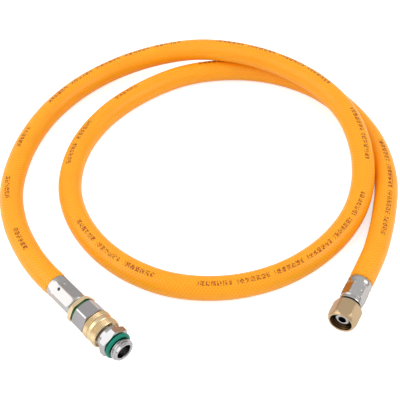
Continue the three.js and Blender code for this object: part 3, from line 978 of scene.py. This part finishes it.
# %% [markdown]
# ## The braid and the brown marks
#
# Inside the clear vinyl lies a braid of polyester: fourteen threads wound one way and fourteen the
# other, at the angle at which a hose under pressure keeps its length. Each family of threads is a
# sine wave on the hose's flat map, slanted so that a whole number of threads fits round it. A row
# of brown marks runs along the hose. It is made up of dots that are inked or left out by chance,
# in blocks with gaps between them.

# %% Braid
CARRIERS = 14
THREAD_SPACING = 2.2  # along the hose
GIRTH = math.pi * HOSE_DIAMETER


def flat_map(tree):
    """How far each point of the hose is along it, and round it from its top, in millimetres."""
    return parts_of(tree, add_node(tree, "ShaderNodeUVMap", uv_map=UV_NAME).outputs[0])


braid, given, result = new_group("braid", {"Sharpness": 1.0}, {"Threads": "NodeSocketFloat"})
flat = flat_map(braid)
along = maths(braid, "DIVIDE", flat["X"], THREAD_SPACING)
around = maths(braid, "DIVIDE", flat["Y"], GIRTH / CARRIERS)
families = []
for direction in ("ADD", "SUBTRACT"):
    turns = maths(braid, direction, along, around)
    wave = maths(braid, "COSINE", maths(braid, "MULTIPLY", turns, 2 * math.pi))
    ridge = maths(braid, "MULTIPLY_ADD", wave, 0.5, 0.5)
    families.append(maths(braid, "POWER", ridge, given.outputs["Sharpness"]))
braid.links.new(maths(braid, "MAXIMUM", *families), result.inputs["Threads"])
print("one thread of the braid is", round(GIRTH / CARRIERS, 2), "mm from the next, round the hose")

# %% Brown marks
MARKS_TURN = math.radians(14)  # from the top towards the outer side of the loops
DOT = 0.5  # the marks are built up from dots of this size, along and across
MARK, BLOCK = 3.3, 23.0  # from one mark, or one block of them, to the next
MARK_FILLS, BLOCK_FILLS = 0.78, 0.86  # how much of that is not a gap
BARE_DOTS, BARE_BLOCKS = 0.43, 0.3  # how many are left out
BLOCK_ROW = 5.0  # the row of random numbers that the blocks are picked by
LAST_MARK = 1165.0  # the hose is bare beside the nut ferrule


def chance(tree, along, across):
    """A steady random number from 0 to 1 for each pair of whole numbers that is passed."""
    column = maths(tree, "FLOOR", along)
    row = maths(tree, "FLOOR", across)
    place = add_node(tree, "ShaderNodeCombineXYZ", {"X": column, "Y": row}).outputs[0]
    noise = add_node(tree, "ShaderNodeTexWhiteNoise", {"Vector": place}, noise_dimensions="2D")
    return noise.outputs["Value"]


marks, given, result = new_group("brown marks", {"Height": 3.1}, {"Mask": "NodeSocketFloat"})
flat = flat_map(marks)
across = maths(marks, "SUBTRACT", flat["Y"], MARKS_TURN * HOSE_DIAMETER / 2)
half_height = maths(marks, "MULTIPLY", given.outputs["Height"], 0.5)
dot_along = maths(marks, "DIVIDE", flat["X"], DOT)
dot_across = maths(marks, "DIVIDE", across, DOT)
mark = maths(marks, "DIVIDE", flat["X"], MARK)
block = maths(marks, "DIVIDE", flat["X"], BLOCK)
inked = maths(marks, "GREATER_THAN", chance(marks, dot_along, dot_across), BARE_DOTS)
for condition in (
    maths(marks, "LESS_THAN", maths(marks, "FRACT", mark), MARK_FILLS),
    maths(marks, "LESS_THAN", maths(marks, "FRACT", block), BLOCK_FILLS),
    maths(marks, "GREATER_THAN", chance(marks, block, BLOCK_ROW), BARE_BLOCKS),
    maths(marks, "LESS_THAN", flat["X"], LAST_MARK),
    maths(marks, "LESS_THAN", maths(marks, "ABSOLUTE", across), half_height),
):
    inked = maths(marks, "MULTIPLY", inked, condition)
marks.links.new(inked, result.inputs["Mask"])
print("groups:", [group.name for group in bpy.data.node_groups])

# %% [markdown]
# ## The hose's vinyl
#
# Clear amber vinyl lets light in and gives it back from inside, so its shaded side stays warm and
# saturated instead of turning grey. That is what subsurface scattering does, with red light
# travelling furthest. The braid shows as a faint lighter lattice, and lifts the skin very
# slightly.

# %% Amber vinyl
VINYL = (0.98, 0.31, 0.005, 1)
THREAD = (1.0, 0.42, 0.014, 1)
INK = (0.36, 0.07, 0.008, 1)
LINE_DEPTH = 0.0001  # metres: no line or thread stands out by more
amber, tree, shader = new_material(
    "amber_hose",
    Roughness=0.32,
    Specular_IOR_Level=0.3,
    Subsurface_Weight=0.5,
    Subsurface_Scale=0.004,
)
shader.inputs["Subsurface Radius"].default_value = (1.0, 0.28, 0.04)
threads = place_group(tree, braid, {"Sharpness": 1.5})["Threads"]
vinyl = mix_colours(tree, threads, VINYL, THREAD)
soiled = place_group(tree, handling, {"Colour": vinyl, "Amount": 0.12, "Size": 45.0})
inked = mix_colours(tree, place_group(tree, marks)["Mask"], soiled["Colour"], INK)
finish_with(tree, shader, inked, soiled["Roughness"])
bump_of_threads = {"Strength": 0.25, "Distance": LINE_DEPTH, "Height": threads}
lift = add_node(tree, "ShaderNodeBump", bump_of_threads)
tree.links.new(lift.outputs[0], shader.inputs["Normal"])
print("the vinyl has", len(tree.nodes), "nodes")

# %% [markdown]
# ## Metals and rubbers
#
# The ferrules, the plug and the nipple are plated with bright nickel, the hexagon of the body is
# plain drawn steel, and the sleeve, the adaptor and the nut are bare brass. They differ in colour,
# in how dull they are and in which way their lines run. A patch of painted shade darkens the
# nut's bore and the punch mark in the plug's ferrule, and a patch of painted highlight brightens
# the corners of the steel hexagon. The rubbers and plastics have no lines.


# %% Metals
TURNED = (7.0, 0.3, 5.0)
DRAWN = (0.25, 6.0, 6.0)
PRESSED = (0.5, 0.6, 0.5)
NICKEL = (0.55, 0.535, 0.52)
# Painted shade: the nut's bore and inner thread, nearer the axis than the limit, are coloured dark
# brown.
SHADE_IN_NUT_BORE = (from_axis, {"Limit": 6.62}, "Inside", (0.12, 0.065, 0.03, 1))
# Painted highlight: the hexagon's turned corner strips, further from the axis than the limit, are
# coloured near white.
HIGHLIGHT_ON_CORNERS = (from_axis, {"Limit": 9.54}, "Outside", (0.95, 0.94, 0.93, 1))
# Painted shade: the hollow of the plug ferrule's punch mark is coloured near black.
SHADE_IN_PUNCH = (punch_mark, {}, "Mask", (0.06, 0.06, 0.06, 1))


def machined(name, colour, roughness, lines, depth, painted_patch=None):
    """A metal with the lines of its tool, given as how fine they are in each direction.

    A painted patch of light or shade says which group masks it, what the group is fed, the name of
    the mask, and a colour.
    """
    material, tree, shader = new_material(name, Metallic=1.0)
    feeds = {"Colour": (*colour, 1), "Roughness": roughness, "Amount": 0.12}
    soiled = place_group(tree, handling, feeds)
    seen = soiled["Colour"]
    if painted_patch:
        group, fed, mask, other_colour = painted_patch
        seen = mix_colours(tree, place_group(tree, group, fed)[mask], seen, other_colour)
    finish_with(tree, shader, seen, soiled["Roughness"])
    fineness = dict(zip(("Along", "Across", "Round"), lines))
    cut = place_group(tree, tool_lines, fineness)["Height"]
    bump_of_lines = {"Strength": depth, "Distance": LINE_DEPTH, "Height": cut}
    bump = add_node(tree, "ShaderNodeBump", bump_of_lines)
    tree.links.new(bump.outputs[0], shader.inputs["Normal"])
    return material


nickel = machined("nickel_plate", NICKEL, 0.2, PRESSED, 0.12)
# The plug ferrule's nickel carries the painted shade in its punch mark.
punched_nickel = machined("punched_nickel_plate", NICKEL, 0.2, PRESSED, 0.12, SHADE_IN_PUNCH)
turned_nickel = machined("turned_nickel_plate", (0.5, 0.485, 0.49), 0.17, TURNED, 0.25)
brass = machined("bare_brass", (0.86, 0.68, 0.42), 0.32, TURNED, 0.2)
# The nut's brass carries the painted shade in its bore.
dull_brass = machined("dull_brass", (0.6, 0.43, 0.25), 0.34, TURNED, 0.25, SHADE_IN_NUT_BORE)
# The steel carries the painted highlight on its corner strips.
steel = machined("grey_steel", (0.44, 0.42, 0.43), 0.3, DRAWN, 0.8, HIGHLIGHT_ON_CORNERS)
spring = machined("spring_steel", (0.4, 0.4, 0.41), 0.3, PRESSED, 0.1)
bronze = machined("bronze_washer", (0.66, 0.46, 0.27), 0.35, PRESSED, 0.1)
print("materials so far:", len(bpy.data.materials))


# %% Rubbers and plastics
def moulded(name, colour, roughness):
    """A rubber or a plastic."""
    material, tree, shader = new_material(name, Specular_IOR_Level=0.3)
    feeds = {"Colour": (*colour, 1), "Roughness": roughness, "Amount": 0.2}
    soiled = place_group(tree, handling, feeds)
    finish_with(tree, shader, soiled["Colour"], soiled["Roughness"])
    return material


teal = moulded("teal_rubber", (0.0, 0.22, 0.145), 0.32)
green = moulded("green_rubber", (0.02, 0.15, 0.04), 0.45)
black = moulded("black_rubber", (0.02, 0.02, 0.02), 0.5)
white = moulded("white_plastic", (0.8, 0.78, 0.72), 0.4)
print("materials so far:", len(bpy.data.materials))

# %% [markdown]
# ## Dressing the part
#
# Each new piece takes the place of the solid that it was made for and moves with that solid's
# body. The four pieces hidden inside the swivel are good enough as they are and only get their
# finish. Weighted normals keep the milled flats flat in the light, next to their small rounded
# edges.

# %% Put the pieces on the part
DRESSED = [
    (hose, "hose", "hose_line", amber, "amber_hose"),
    (plug_ferrule, "plug_ferrule", "hose_line", punched_nickel, "nickel_plate"),
    (adaptor, "barbed_adaptor", "hose_line", brass, "bare_brass"),
    (gasket, "adaptor_gasket", "hose_line", green, "green_rubber"),
    (swivel_body, "swivel_body", "hose_line", steel, "grey_steel"),
    (sleeve, "knurled_sleeve", "hose_line", brass, "bare_brass"),
    (plug, "swivel_plug", "plug", turned_nickel, "nickel_plate"),
    (plug_ring, "plug_o_ring", "plug", teal, "teal_rubber"),
    (nut_ferrule, "nut_ferrule", "hose_line", nickel, "nickel_plate"),
    (nipple, "nut_nipple", "hose_line", turned_nickel, "nickel_plate"),
    (cone_ring, "nipple_o_ring", "hose_line", green, "green_rubber"),
    (nut, "swivel_nut", "nut", dull_brass, "bare_brass"),
]
for piece, node, body, finish, slot in DRESSED:
    piece.data.materials.append(finish)
    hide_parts(node)
    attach(piece, body)
    even = piece.modifiers.new("even shading", "WEIGHTED_NORMAL")
    even.keep_sharp = True
print(len(DRESSED), "pieces take the place of solids")

# %% Finish of the hidden pieces
HIDDEN = {
    "thrust_washer": bronze,
    "snap_ring": spring,
    "shaft_seal_ring": black,
    "back_up_ring": white,
}
for node, finish in HIDDEN.items():
    kept = frame["nodes"][node]
    kept.data.materials.clear()
    kept.data.materials.append(finish)
print(len(HIDDEN), "solids are kept as they are")

# %% What the hose is
print("the hose is drawn", round(hose_length / 1000, 3), "m long")

# %% [markdown]
# ## Floor and light
#
# The hose lies on a plain white ground with hardly any shadow. A broad key light stands high on
# the left, a weaker one beyond the object on the right, and the sky fills the rest. They light the
# object at a plain level. The white of the ground is only for the camera and for mirrors: a little
# light of its own is added there, and the shadow under the hose still shows in it.

# %% Floor
GROUND_GLOW = 0.62
GLOW_IN_MIRRORS = 0.25  # how much of the glow a mirror sees
GROUND_SIZE = 4000
floor_bm = bmesh.new()
bmesh.ops.create_grid(floor_bm, x_segments=1, y_segments=1, size=GROUND_SIZE)
floor = new_object("floor", floor_bm)
ground, tree, shader = new_material("pale_ground", Roughness=0.9)
shader.inputs["Base Color"].default_value = (0.85, 0.85, 0.85, 1)
rays = add_node(tree, "ShaderNodeLightPath").outputs
seen = maths(tree, "MAXIMUM", rays["Is Camera Ray"], rays["Is Transmission Ray"])
mirrored = maths(tree, "MULTIPLY", rays["Is Glossy Ray"], GLOW_IN_MIRRORS)
seen = maths(tree, "MAXIMUM", seen, mirrored)
tree.links.new(maths(tree, "MULTIPLY", seen, GROUND_GLOW), shader.inputs["Emission Strength"])
shader.inputs["Emission Color"].default_value = (1, 1, 1, 1)
floor.data.materials.append(ground)

# %% World
SKY_LIGHT = 0.9
LOW_MIRRORED, HIGH_MIRRORED = 0.5, 0.75  # what metal mirrors near the horizon and overhead
world = bpy.data.worlds.new("studio")
bpy.context.scene.world = world
world.use_nodes = True
tree = world.node_tree
background = tree.nodes["Background"]
rays = add_node(tree, "ShaderNodeLightPath").outputs
direction = add_node(tree, "ShaderNodeTexCoord").outputs["Generated"]
height = parts_of(tree, direction)["Z"]
ceiling = add_node(
    tree,
    "ShaderNodeMapRange",
    {
        "Value": height,
        "From Min": 0.1,
        "From Max": 0.9,
        "To Min": LOW_MIRRORED,
        "To Max": HIGH_MIRRORED,
    },
    interpolation_type="SMOOTHSTEP",
).outputs[0]
mirrored = maths(tree, "MULTIPLY", rays["Is Glossy Ray"], ceiling)
sky = maths(tree, "MULTIPLY", rays["Is Diffuse Ray"], SKY_LIGHT)
seen = maths(tree, "MAXIMUM", rays["Is Camera Ray"], rays["Is Transmission Ray"])
strength = maths(tree, "MAXIMUM", maths(tree, "MAXIMUM", mirrored, sky), seen)
background.inputs["Color"].default_value = (1, 1, 1, 1)
tree.links.new(strength, background.inputs["Strength"])
print("the sky lights with", SKY_LIGHT)


# %% Lamps
def soft_lamp(name, place, size, watts):
    """A square lamp aimed at the middle of the object."""
    data = bpy.data.lights.new(name, "AREA")
    data.size = size
    data.energy = watts
    lamp = bpy.data.objects.new(name, data)
    lamp.location = place
    lamp.rotation_euler = (Vector(place) - LOOK_AT).to_track_quat("Z", "Y").to_euler()
    bpy.context.scene.collection.objects.link(lamp)


soft_lamp("key", (-1.25, -0.85, 1.15), size=1.8, watts=12)
soft_lamp("fill", (1.35, 0.55, 1.1), size=1.0, watts=6)
bpy.context.scene.view_settings.view_transform = "Standard"
print("lamps:", [lamp.name for lamp in bpy.data.lights])
